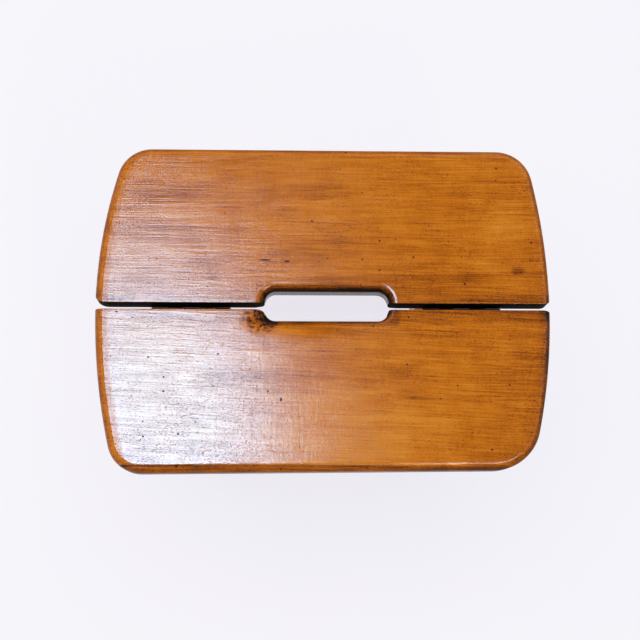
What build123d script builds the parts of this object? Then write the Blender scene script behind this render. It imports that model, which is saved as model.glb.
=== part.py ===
"""Folding stool: two seat boards hinged side by side over a pair of crossed leg frames.

Millimetres, +Z up, +X along the boards, -Y the front. The origin is on the floor under the
middle of the seat. Lifting the seat by its hand-hold swings the boards' outer edges down and
brings the two frames together.
"""
import os
from math import acos, asin, atan2, cos, degrees, hypot, pi, sin, sqrt

from build123d import *

os.makedirs("parts", exist_ok=True)

# Seat boards
seat_width = 400.0
seat_depth = 287.0
seat_height = 430.0
board_thickness = 25.0
slit_width = 5.8
front_left_bow = 527.0
front_right_bow = 517.0
back_left_bow = 430.0
back_right_bow = 552.0
front_left_corner = 30.0
front_right_corner = 42.0
back_left_corner = 15.0
back_right_corner = 33.0
rim_roundover = 8.0
underside_roundover = 2.0
slit_corner_ease = 3.5

# How far right of the seat's middle the hand-hold and the hinges are centred
fittings_offset = 3.3

# Hand-hold, cut half in each board
hold_length = 107.5
hold_width = 28.0
hold_roundover = 8.0
flare_length = 9.0
flare_rise = 2.5

# Legs and frames
leg_width = 36.0
leg_thickness = 20.0
leg_edge_round = 2.5
pivot_offset = 105.0
foot_offset = 96.0
foot_flat_depth = 1.0
heel_gap = 0.4
running_face_gap = 2.0
inner_leg_face = 96.0
fold_angle = 56.0

# Rails screwed across the outer frame
rail_width = 34.0
rail_thickness = 12.0
rail_edge_round = 2.0
top_rail_reach = 120.0
foot_rail_reach = 172.0
rail_screw_spread = 18.0

# Rungs glued into the inner frame
rung_radius = 11.0
tenon_radius = 8.0
tenon_length = 14.0
top_rung_reach = 125.0
foot_rung_reach = 150.0

# Pivot blocks under the boards
block_length = 62.0
block_thickness = 18.0
block_foot_height = 8.0
block_ear_radius = 14.0
block_edge_round = 1.5
block_screw_offset = 23.0
block_seat_height = 10.0
counterbore_radius = 4.5

# Bolts, washers and nuts
bolt_radius = 4.0
bolt_head_radius = 8.0
bolt_head_height = 4.5
bolt_head_round = 3.0
key_radius = 2.5
key_depth = 2.5
insert_radius = 6.0
insert_length = 15.0
bolt_end_wall = 4.0
washer_radius = 9.0
washer_thickness = 1.6
washer_float = 0.2
nut_across_flats = 13.0
nut_height = 6.5
cap_radius = 5.5
running_clearance = 0.05

# Butt hinges under the slit
hinge_length = 70.0
hinge_centre = 121.0
plate_reach = 24.0
plate_thickness = 1.8
knuckle_radius = 3.6
knuckle_count = 5
knuckle_gap = 0.3
knuckle_rise = 0.2
hinge_pin_radius = 1.6
pin_head_radius = 2.6
pin_head_height = 1.0
hinge_screw_row = 15.0
hinge_screw_pitch = 25.0

# Wood screws
screw_radius = 1.7
screw_head_radius = 3.4
screw_head_height = 1.6
screw_bite = 13.0
rail_screw_bite = 15.0
slot_width = 0.9
slot_depth = 0.7

overrun = 1.0
match_tolerance = 0.01

# Heights and places worked out from the sizes above
underside = seat_height - board_thickness
half_leg = leg_width / 2
pivot_height = underside - half_leg - heel_gap
foot_height = half_leg - foot_flat_depth
leg_run = pivot_offset + foot_offset
leg_rise = pivot_height - foot_height
lean = atan2(leg_run, leg_rise)
cross_height = foot_height + leg_rise * foot_offset / leg_run
outer_leg_face = inner_leg_face + leg_thickness + running_face_gap
front_block_face = outer_leg_face + leg_thickness + running_face_gap
back_block_face = inner_leg_face - running_face_gap - block_thickness
hinge_axis_height = underside + knuckle_rise - knuckle_radius
rail_length = 2 * (outer_leg_face + leg_thickness)

nodes = {}
SIDES = (("left", -1), ("right", 1))


def keep(name, *shapes):
    """Put one solid, or a group of separate solids, in the node of that name."""
    nodes[name] = shapes[0] if len(shapes) == 1 else Compound(children=list(shapes))


def rod(radius, start, finish, y, z):
    """Round bar along X between two places."""
    length = finish - start
    return Pos(start + length / 2, y, z) * Rot(0, 90, 0) * Cylinder(radius, abs(length))


def ring(radius, bore, start, finish, y, z):
    """Washer or sleeve along X between two places."""
    reach = overrun if finish > start else -overrun
    return rod(radius, start, finish, y, z) - rod(bore, start - reach, finish + reach, y, z)


def end_arc_x(radius, y):
    """How far out the bowed end of the seat lies at a distance y from the slit."""
    return seat_width / 2 - radius + sqrt(radius**2 - y**2)


def end_edges(side, end_radius, corner_radius):
    """Plan of one end of a board, from the slit to the long edge: ease, bow and corner."""
    bow_centre = seat_width / 2 - end_radius
    corner_y = seat_depth / 2 - corner_radius
    corner_x = bow_centre + sqrt((end_radius - corner_radius) ** 2 - corner_y**2)
    turn = atan2(corner_y, corner_x - bow_centre)
    slit_y = slit_width / 2
    eased_y = slit_y + slit_corner_ease
    first_turn = asin(eased_y / end_radius)

    def bow(angle):
        return (side * (bow_centre + end_radius * cos(angle)), end_radius * sin(angle))

    def corner(angle):
        return (side * (corner_x + corner_radius * cos(angle)),
                corner_y + corner_radius * sin(angle))

    start = (side * (end_arc_x(end_radius, slit_y) - slit_corner_ease), slit_y)
    ease = Line(start, bow(first_turn))
    rim = [ThreePointArc(bow(first_turn), bow((first_turn + turn) / 2), bow(turn)),
           ThreePointArc(corner(turn), corner((turn + pi / 2) / 2), corner(pi / 2))]
    return start, ease, rim


def hold_edges():
    """Plan of half the hand-hold, from one flare over the long edge to the other flare."""
    slit_y = slit_width / 2
    flare_y = slit_y + flare_rise
    half_length, half_width = hold_length / 2, hold_width / 2
    radius = half_width - flare_y
    centre_x = half_length - radius

    def along(side, reach):
        return fittings_offset + side * reach

    def corner(side, angle):
        return (along(side, centre_x + radius * cos(angle)), flare_y + radius * sin(angle))

    flares = [Line((along(side, half_length + flare_length), slit_y),
                   (along(side, half_length), flare_y)) for side in (-1, 1)]
    edge = [ThreePointArc(corner(side, 0), corner(side, pi / 4), corner(side, pi / 2))
            for side in (-1, 1)]
    edge.append(Line(corner(-1, pi / 2), corner(1, pi / 2)))
    return flares, edge


def edges_over(solid, plan, height):
    """The solid's edges that lie over the given plan edges at one height."""
    middles = [edge @ 0.5 for edge in plan]
    places = [Vector(middle.X, middle.Y, height) for middle in middles]
    return [edge for edge in solid.edges()
            if any((edge @ 0.5 - place).length < match_tolerance for place in places)]


def seat_board(left_bow, left_corner, right_bow, right_corner):
    """One seat board, lying on the +Y side of the slit, from the radii of its ends."""
    left_start, left_ease, left_rim = end_edges(-1, left_bow, left_corner)
    right_start, right_ease, right_rim = end_edges(1, right_bow, right_corner)
    flares, hold = hold_edges()
    slit_y = slit_width / 2
    flare_x = hold_length / 2 + flare_length
    long_edge = Line(left_rim[-1] @ 1, right_rim[-1] @ 1)
    slits = [Line(left_start, (fittings_offset - flare_x, slit_y)),
             Line((fittings_offset + flare_x, slit_y), right_start)]
    rim = left_rim + right_rim + [long_edge]
    outline = rim + [left_ease, right_ease] + slits + flares + hold
    board = Pos(0, 0, underside) * extrude(Face(Wire(outline)), board_thickness, dir=(0, 0, 1))
    board = fillet(edges_over(board, rim, seat_height), rim_roundover)
    board = fillet(edges_over(board, hold, seat_height), hold_roundover)
    board = fillet(edges_over(board, rim, underside), underside_roundover)
    board = fillet(edges_over(board, hold, underside), underside_roundover)
    return board


def wood_screw(length):
    """Countersunk screw pointing up +Z, its slotted head's face at the origin."""
    point = screw_radius
    profile = Polyline((0, 0), (screw_head_radius, 0), (screw_radius, screw_head_height),
                       (screw_radius, length - point), (0, length), close=True)
    body = revolve(Plane.XZ * make_face(profile), Axis.Z)
    slot = Box(2 * screw_head_radius + overrun, slot_width, 2 * slot_depth)
    return body - slot


def button_bolt(shank_length):
    """Button-head bolt pointing along +X, its shank starting at the origin."""
    head = rod(bolt_head_radius, -bolt_head_height, 0, 0, 0)
    outer_rim = head.edges().filter_by(GeomType.CIRCLE).sort_by(Axis.X)[0]
    head = fillet(outer_rim, bolt_head_round)
    key = Pos(-bolt_head_height, 0, 0) * Rot(0, 90, 0) * extrude(
        RegularPolygon(key_radius, 6), key_depth, both=True)
    return head + rod(bolt_radius, 0, shank_length, 0, 0) - key


def leg_face(lean_side):
    """Side view of a leg: round foot, flat heel under the board, round outer shoulder.

    lean_side is 1 for a leg whose top is at the back, and -1 for one whose top is in front.
    """
    down = (-sin(lean), -cos(lean))
    inward = (-cos(lean), sin(lean))
    heel_step = half_leg * (sin(lean) - 1) / cos(lean)

    def place(origin, across, along=0.0):
        y = origin[0] + across * inward[0] + along * down[0]
        return (lean_side * y, origin[1] + across * inward[1] + along * down[1])

    def around(angle):
        return (lean_side * (top[0] + half_leg * cos(angle)), top[1] + half_leg * sin(angle))

    top = (pivot_offset, pivot_height)
    foot = (-foot_offset, foot_height)
    edges = [Line(around(pi / 2), place(top, half_leg, heel_step)),
             Line(place(top, half_leg, heel_step), place(foot, half_leg)),
             ThreePointArc(place(foot, half_leg), place(foot, 0, half_leg),
                           place(foot, -half_leg)),
             Line(place(foot, -half_leg), place(top, -half_leg)),
             ThreePointArc(place(top, -half_leg), around((pi / 2 - lean) / 2),
                           around(pi / 2))]
    return Face(Wire(edges))


def leg(lean_side, side, face):
    """A leg with its inner face at x = face, on one side of the stool, before drilling."""
    start = face if side > 0 else -face - leg_thickness
    blank = extrude(Plane.YZ.offset(start) * leg_face(lean_side), leg_thickness, dir=(1, 0, 0))
    blank = fillet(blank.faces().filter_by(Axis.X).edges(), leg_edge_round)
    floor = Box(seat_width, seat_depth, leg_width, align=(Align.CENTER, Align.CENTER, Align.MAX))
    return blank - floor


def along_leg(lean_side, reach):
    """Place on a leg's centre line, reach up (+) or down (-) from the crossing."""
    return lean_side * reach * sin(lean), cross_height + reach * cos(lean)


def rail_plane(reach, face_side):
    """Plane on a face of the outer legs, X along the stool and Z out of the wood."""
    y, z = along_leg(-1, reach)
    out = (face_side * cos(lean), face_side * sin(lean))
    origin = (0, y + half_leg * out[0], z + half_leg * out[1])
    return Plane(origin=origin, x_dir=(1, 0, 0), z_dir=(0, out[0], out[1]))


def rail_screw_places(plane):
    """The four screws of a rail, each a place with its Z going into the wood."""
    span = outer_leg_face + leg_thickness / 2
    return [plane * Pos(side * span, row * rail_screw_spread / 2, rail_thickness) * Rot(180, 0, 0)
            for side in (-1, 1) for row in (-1, 1)]


def pivot_block(y, face, side, bolt_bore):
    """Ear under a board with its inner face at x = face, carrying a leg's top pivot."""
    with BuildSketch() as ear:
        with Locations((y, underside - block_foot_height / 2)):
            Rectangle(block_length, block_foot_height)
        with Locations((y, pivot_height)):
            Circle(block_ear_radius)
        make_hull()
    start = face if side > 0 else -face - block_thickness
    block = extrude(Plane.YZ.offset(start) * ear.sketch, block_thickness, dir=(1, 0, 0))
    sides = block.faces().filter_by(Axis.X).edges()
    block = fillet([edge for edge in sides if edge.center().Z < underside - match_tolerance],
                   block_edge_round)
    block -= rod(bolt_bore, start - overrun, start + block_thickness + overrun, y, pivot_height)
    for place in block_screw_places(y, start + block_thickness / 2):
        block -= place * Cylinder(counterbore_radius, board_thickness,
                                  align=(Align.CENTER, Align.CENTER, Align.MAX))
        block -= place * screw_hole(board_thickness)
    return block


def block_screw_places(y, x):
    """The two upright screws of a pivot block, at their heads' faces."""
    return [Pos(x, y + row * block_screw_offset, underside - block_seat_height)
            for row in (-1, 1)]


def screw_hole(length):
    """What a wood screw fills: a countersink and a round hole, without the slot."""
    sink = Cone(screw_head_radius, screw_radius, screw_head_height,
                align=(Align.CENTER, Align.CENTER, Align.MIN))
    return sink + Cylinder(screw_radius, length, align=(Align.CENTER, Align.CENTER, Align.MIN))


def hinge_middle(side):
    """Middle of the left (-1) or right (1) hinge, along the slit."""
    return fittings_offset + side * hinge_centre


def hinge_plate(centre, board_side, owns_first):
    """One plate of a butt hinge with its own knuckles, on the front (-1) or back (1) board."""
    inner_edge = knuckle_radius + 2 * knuckle_gap
    middle_y = board_side * (plate_reach + inner_edge) / 2
    plate = Pos(centre, middle_y, underside - plate_thickness / 2) * Box(
        hinge_length, plate_reach - inner_edge, plate_thickness)
    pitch = hinge_length / knuckle_count
    for number in range(0 if owns_first else 1, knuckle_count, 2):
        first = number > 0
        last = number < knuckle_count - 1
        start = centre - hinge_length / 2 + number * pitch + first * knuckle_gap / 2
        finish = centre - hinge_length / 2 + (number + 1) * pitch - last * knuckle_gap / 2
        plate += rod(knuckle_radius, start, finish, 0, hinge_axis_height)
        tab = Box(finish - start, inner_edge + overrun, plate_thickness)
        plate += Pos((start + finish) / 2, board_side * (inner_edge + overrun) / 2,
                     underside - plate_thickness / 2) * tab
    bore = hinge_pin_radius + (0 if owns_first else running_clearance)
    plate -= rod(bore, centre - hinge_length, centre + hinge_length, 0, hinge_axis_height)
    for place in hinge_screw_places(centre, board_side):
        plate -= place * screw_hole(board_thickness)
    return plate


def hinge_screw_places(centre, board_side):
    """The three upright screws of a hinge plate, at their heads' faces."""
    return [Pos(centre + column * hinge_screw_pitch, board_side * hinge_screw_row,
                underside - plate_thickness) for column in (-1, 0, 1)]


# Seat boards, drilled for the screws of the hinges and pivot blocks
boards = {"front": mirror(seat_board(front_left_bow, front_left_corner,
                                     front_right_bow, front_right_corner), Plane.XZ),
          "back": seat_board(back_left_bow, back_left_corner,
                             back_right_bow, back_right_corner)}
block_faces = {"front": front_block_face, "back": back_block_face}
board_sides = {"front": -1, "back": 1}
block_screw_length = block_seat_height + screw_bite
for row, board in boards.items():
    board_side = board_sides[row]
    hinge_places = [place for side in (-1, 1)
                    for place in hinge_screw_places(hinge_middle(side), board_side)]
    block_places = [place for side in (-1, 1) for place in block_screw_places(
        board_side * pivot_offset, side * (block_faces[row] + block_thickness / 2))]
    for place in hinge_places:
        board -= place * screw_hole(screw_bite)
    for place in block_places:
        board -= place * screw_hole(block_screw_length)
    keep(f"{row}_seat_board", board)
    keep(f"{row}_hinge_screws", *[place * wood_screw(screw_bite) for place in hinge_places])
    keep(f"{row}_block_screws",
         *[place * wood_screw(block_screw_length) for place in block_places])

# Pivot blocks: the front ones turn on their bolts, the back ones hold theirs
for name, side in SIDES:
    keep(f"front_{name}_pivot_block", pivot_block(
        -pivot_offset, front_block_face, side, bolt_radius + running_clearance))
    keep(f"back_{name}_pivot_block", pivot_block(pivot_offset, back_block_face, side, bolt_radius))

# Butt hinges
for name, side in SIDES:
    centre = hinge_middle(side)
    keep(f"{name}_hinge_front_plate", hinge_plate(centre, -1, True))
    keep(f"{name}_hinge_back_plate", hinge_plate(centre, 1, False))
    half_pin = hinge_length / 2
    pin = rod(hinge_pin_radius, centre - half_pin, centre + half_pin, 0, hinge_axis_height)
    for end in (-1, 1):
        pin += rod(pin_head_radius, centre + end * half_pin,
                   centre + end * (half_pin + pin_head_height), 0, hinge_axis_height)
    keep(f"{name}_hinge_pin", pin)

# Outer frame: its legs start in front at the seat and stand at the back
top_rail_plane = rail_plane(top_rail_reach, -1)
foot_rail_plane = rail_plane(-foot_rail_reach, 1)
for name, plane in (("outer_top_rail", top_rail_plane), ("outer_foot_rail", foot_rail_plane)):
    bar = Pos(0, 0, rail_thickness / 2) * Box(rail_length, rail_width, rail_thickness)
    outer_edges = [edge for edge in bar.edges() if edge.center().Z > match_tolerance]
    rail = plane * fillet(outer_edges, rail_edge_round)
    for place in rail_screw_places(plane):
        rail -= place * screw_hole(leg_width)
    keep(name, rail)
rail_screw_length = rail_thickness + rail_screw_bite
rail_places = rail_screw_places(top_rail_plane) + rail_screw_places(foot_rail_plane)
keep("outer_rail_screws", *[place * wood_screw(rail_screw_length) for place in rail_places])

bolt_end = outer_leg_face + bolt_end_wall
for name, side in SIDES:
    outer = leg(-1, side, outer_leg_face)
    outer_far = outer_leg_face + leg_thickness
    outer -= rod(insert_radius, side * bolt_end, side * (bolt_end + insert_length),
                 -pivot_offset, pivot_height)
    outer -= rod(bolt_radius, side * bolt_end, side * (outer_far + overrun),
                 -pivot_offset, pivot_height)
    outer -= rod(bolt_radius, side * (outer_leg_face - overrun), side * (outer_far + overrun),
                 0, cross_height)
    for place in rail_places:
        outer -= place * screw_hole(rail_screw_length)
    keep(f"outer_{name}_leg", outer)

# Inner frame: its legs start at the back at the seat and stand in front
rungs = {"inner_top_rung": along_leg(1, top_rung_reach),
         "inner_foot_rung": along_leg(1, -foot_rung_reach)}
tenon_end = inner_leg_face + tenon_length
for name, (y, z) in rungs.items():
    keep(name, rod(rung_radius, -inner_leg_face, inner_leg_face, y, z)
         + rod(tenon_radius, -tenon_end, tenon_end, y, z))
stud_end = inner_leg_face + leg_thickness - bolt_end_wall
for name, side in SIDES:
    inner = leg(1, side, inner_leg_face)
    inner_far = inner_leg_face + leg_thickness
    inner -= rod(bolt_radius + running_clearance, side * (inner_leg_face - overrun),
                 side * (inner_far + overrun), 0, cross_height)
    inner -= rod(insert_radius, side * (stud_end - insert_length), side * stud_end,
                 pivot_offset, pivot_height)
    inner -= rod(bolt_radius, side * (inner_leg_face - overrun), side * stud_end,
                 pivot_offset, pivot_height)
    for y, z in rungs.values():
        inner -= rod(tenon_radius, side * (inner_leg_face - overrun), side * tenon_end, y, z)
    keep(f"inner_{name}_leg", inner)

# Front pivot bolts turn with the outer frame, screwed into brass inserts in its legs
front_head = front_block_face + block_thickness + 2 * washer_float + washer_thickness
front_shank = front_head - bolt_end
for name, side in SIDES:
    turned = Rot(0, 0, 180) if side > 0 else Rot(0, 0, 0)
    keep(f"front_{name}_pivot_bolt",
         Pos(side * front_head, -pivot_offset, pivot_height) * turned * button_bolt(front_shank))
keep("front_pivot_inserts",
     *[ring(insert_radius, bolt_radius, side * bolt_end, side * (bolt_end + insert_length),
            -pivot_offset, pivot_height) for side in (-1, 1)])
block_outside = front_block_face + block_thickness + washer_float
leg_outside = outer_leg_face + leg_thickness + washer_float
keep("front_pivot_washers",
     *[ring(washer_radius, bolt_radius, side * start, side * (start + washer_thickness),
            -pivot_offset, pivot_height)
       for side in (-1, 1) for start in (leg_outside, block_outside)])

# Back pivot bolts stay in their blocks; each one's threaded end is a stud in the inner leg
for name, side in SIDES:
    turned = Rot(0, 0, 0) if side > 0 else Rot(0, 0, 180)
    keep(f"back_{name}_pivot_bolt",
         Pos(side * back_block_face, pivot_offset, pivot_height) * turned
         * button_bolt(block_thickness))
stud_start = back_block_face + block_thickness + washer_float
keep("back_pivot_studs",
     *[rod(bolt_radius, side * stud_start, side * stud_end, pivot_offset, pivot_height)
       for side in (-1, 1)])
keep("back_pivot_inserts",
     *[ring(insert_radius, bolt_radius, side * (stud_end - insert_length), side * stud_end,
            pivot_offset, pivot_height) for side in (-1, 1)])
keep("back_pivot_washers",
     *[ring(washer_radius, bolt_radius, side * stud_start,
            side * (stud_start + washer_thickness), pivot_offset, pivot_height)
       for side in (-1, 1)])

# Cross bolts, held tight in the outer legs, with the inner legs turning on them
cross_head = outer_leg_face + leg_thickness
nut_face = inner_leg_face - 2 * washer_float - washer_thickness
cross_end = nut_face - nut_height
nuts, washers = [], []
for name, side in SIDES:
    turned = Rot(0, 0, 180) if side > 0 else Rot(0, 0, 0)
    keep(f"{name}_cross_bolt", Pos(side * cross_head, 0, cross_height) * turned
         * button_bolt(cross_head - cross_end))
    hexagon = Pos(side * (nut_face - nut_height / 2), 0, cross_height) * Rot(0, 90, 0) * extrude(
        RegularPolygon(nut_across_flats / 2, 6, major_radius=False), nut_height / 2, both=True)
    dome = Pos(side * cross_end, 0, cross_height) * Sphere(cap_radius)
    bolt_bore = rod(bolt_radius, side * cross_end, side * (nut_face + overrun), 0, cross_height)
    nuts.append(hexagon + dome - bolt_bore)
    for start in (inner_leg_face - washer_float - washer_thickness,
                  inner_leg_face + leg_thickness + washer_float):
        washers.append(ring(washer_radius, bolt_radius, side * start,
                            side * (start + washer_thickness), 0, cross_height))
keep("cross_nuts", *nuts)
keep("cross_washers", *washers)

for name, shape in nodes.items():
    export_step(shape, f"parts/{name}.step")

# The fold, in numbers: how far each joint turns when the frames close by fold_angle
link = hypot(pivot_offset, hinge_axis_height - pivot_height)
link_rise = atan2(hinge_axis_height - pivot_height, pivot_offset)
upper_arm = pivot_offset / sin(lean)
half_fold = fold_angle * pi / 360
board_turn = acos(upper_arm * sin(lean - half_fold) / link) - link_rise
leaf_tilt = degrees(board_turn + half_fold)
seat_fold = degrees(2 * board_turn)
print("nodes", len(nodes), "cross height", round(cross_height, 4), "lean", round(degrees(lean), 4))
print("pivot", pivot_height, "hinge axis", hinge_axis_height)
print("leaf tilt", leaf_tilt, "ratio", leaf_tilt / fold_angle)
print("seat fold", seat_fold, "ratio", seat_fold / fold_angle)
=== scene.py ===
"""Looks of a folding wooden stool: two varnished seat boards over crossed leg frames.

Metres, +Z up, +X along the seat boards, -Y the front. Sizes in the dataclasses are in
millimetres, as a maker writes them, and are turned to metres where a mesh or a material is
made. Depths of tone are steps along a wood's shades, from 0, the darkest, to 1.
"""
from __future__ import annotations

import logging
from collections.abc import Callable
from dataclasses import dataclass, field
from enum import Enum
from functools import partial
from math import asin, atan2, cos, pi, radians, sin, sqrt
from typing import Any

import bmesh
import bpy
from mathutils import Matrix, Vector

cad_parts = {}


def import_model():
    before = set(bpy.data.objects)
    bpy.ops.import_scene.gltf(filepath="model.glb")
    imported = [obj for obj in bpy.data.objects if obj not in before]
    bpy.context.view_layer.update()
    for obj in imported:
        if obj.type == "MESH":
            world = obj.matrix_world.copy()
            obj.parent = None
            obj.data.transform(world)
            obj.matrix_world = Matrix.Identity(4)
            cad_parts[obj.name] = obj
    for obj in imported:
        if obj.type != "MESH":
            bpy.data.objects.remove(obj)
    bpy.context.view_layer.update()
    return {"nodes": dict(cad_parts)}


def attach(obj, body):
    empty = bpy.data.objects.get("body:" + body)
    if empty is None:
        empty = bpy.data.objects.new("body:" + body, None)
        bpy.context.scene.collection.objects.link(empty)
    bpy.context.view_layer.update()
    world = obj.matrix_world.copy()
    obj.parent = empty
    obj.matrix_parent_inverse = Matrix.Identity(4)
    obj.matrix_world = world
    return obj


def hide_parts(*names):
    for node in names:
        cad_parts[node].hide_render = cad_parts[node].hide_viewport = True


MM = 0.001
UP = Vector((0, 0, 1))
WHITE = "#ffffff"
SMOOTH = "SMOOTHSTEP"
log = logging.getLogger("folding_stool")

Tree = bpy.types.NodeTree
Socket = bpy.types.NodeSocket
Mesh = bmesh.types.BMesh
Vert = bmesh.types.BMVert
Edge = bmesh.types.BMEdge
Shades = tuple[tuple[float, str], ...]
AddNode = Callable[..., Any]


class Body(str, Enum):
    """The two moving bodies that carry a dressed board."""

    FRONT_LEAF = "front_leaf"
    BACK_LEAF = "back_leaf"


class Grain(Enum):
    """Way that a piece's grain runs: the turn, in degrees, that brings it onto the X axis."""

    ALONG_RAILS = (0.0, 0.0, 0.0)
    ALONG_BACK_BOARD = (0.0, 0.0, 0.5)
    ALONG_FRONT_BOARD = (0.0, 0.0, 2.4)
    UP_OUTER_LEG = (-28.54, 90.0, 0.0)
    UP_INNER_LEG = (28.54, 90.0, 0.0)
    FRONT_TO_BACK = (0.0, 0.0, -90.0)


def linear(hex_colour: str) -> tuple[float, float, float, float]:
    """Turn an sRGB hex colour into the linear one that a shader takes.

    Args:
        hex_colour: six hex digits after a hash sign.

    Returns:
        Linear red, green and blue, and an alpha of one.
    """
    channels = [int(hex_colour[place:place + 2], 16) / 255 for place in (1, 3, 5)]
    light = [value / 12.92 if value <= 0.04045 else ((value + 0.055) / 1.055) ** 2.4
             for value in channels]
    return (light[0], light[1], light[2], 1.0)


def add_node(tree: Tree, kind: str, inputs: dict[str, Any] | tuple[Any, ...] = (),
             **settings: Any) -> Any:
    """Add a node, set its properties and fill or link its inputs.

    Args:
        tree: the node tree that gets the node.
        kind: the node's type, without the words that all of them start with.
        inputs: values, or the outputs that feed them, by socket name or in order.
        settings: the node's own properties.

    Returns:
        The node's outputs, by name or number.
    """
    node = tree.nodes.new(f"ShaderNode{kind}")
    for name, value in settings.items():
        setattr(node, name, value)
    pairs = inputs.items() if isinstance(inputs, dict) else enumerate(inputs)
    for socket, value in pairs:
        if isinstance(value, Socket):
            tree.links.new(value, node.inputs[socket])
        else:
            node.inputs[socket].default_value = value
    return node.outputs


def fill_ramp(ramp: bpy.types.Node, shades: Shades) -> None:
    """Put shades on a colour ramp.

    Args:
        ramp: the colour ramp's node.
        shades: tone and sRGB hex colour of each shade, from darkest to lightest.
    """
    stops = ramp.color_ramp.elements
    while len(stops) < len(shades):
        stops.new(1.0)
    for stop, (position, colour) in zip(stops, shades):
        stop.position = position
        stop.color = linear(colour)


def new_object(bm: Mesh, name: str) -> bpy.types.Object:
    """Turn a finished bmesh into an object of the scene.

    Args:
        bm: the bmesh in metres, which is freed.
        name: the object's name.

    Returns:
        The object.
    """
    mesh = bpy.data.meshes.new(name)
    bm.to_mesh(mesh)
    bm.free()
    made = bpy.data.objects.new(name, mesh)
    bpy.context.scene.collection.objects.link(made)
    return made


def new_material(name: str) -> bpy.types.Material:
    """Make a material with an empty node tree.

    Args:
        name: the material's name.

    Returns:
        The material.
    """
    material = bpy.data.materials.new(name)
    material.use_nodes = True
    material.node_tree.nodes.clear()
    return material


@dataclass(frozen=True)
class Fibre:
    """One layer of grain: streaks of a length and width in millimetres, and how strong.

    depth is how far it moves the tone, and relief is the height in millimetres that the layer
    gives the surface.
    """

    length: float
    width: float
    depth: float
    relief: float
    detail: float = 2.0


@dataclass(frozen=True)
class Stain:
    """A patch on the wood: its middle and half sizes in millimetres, and its depth.

    A negative depth makes the patch lighter, bare is the share of the varnish rubbed off, and
    charred is how dark the burnt specks in it are.
    """

    x: float
    y: float
    half_x: float
    half_y: float
    depth: float
    bare: float = 0.0
    charred: float = 0.0


@dataclass(frozen=True)
class Pits:
    """Small round holes in the varnish: how far apart, and the largest one's radius, in mm.

    The higher rarity is, the fewer of them are near the largest size. A hole deepens from
    rim_share to floor_share of its radius.
    """

    spacing: float = 15.0
    radius: float = 1.0
    depth: float = 0.5
    relief: float = 0.05
    rarity: float = 4.0
    rim_share: float = 1.1
    floor_share: float = 0.6


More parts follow.
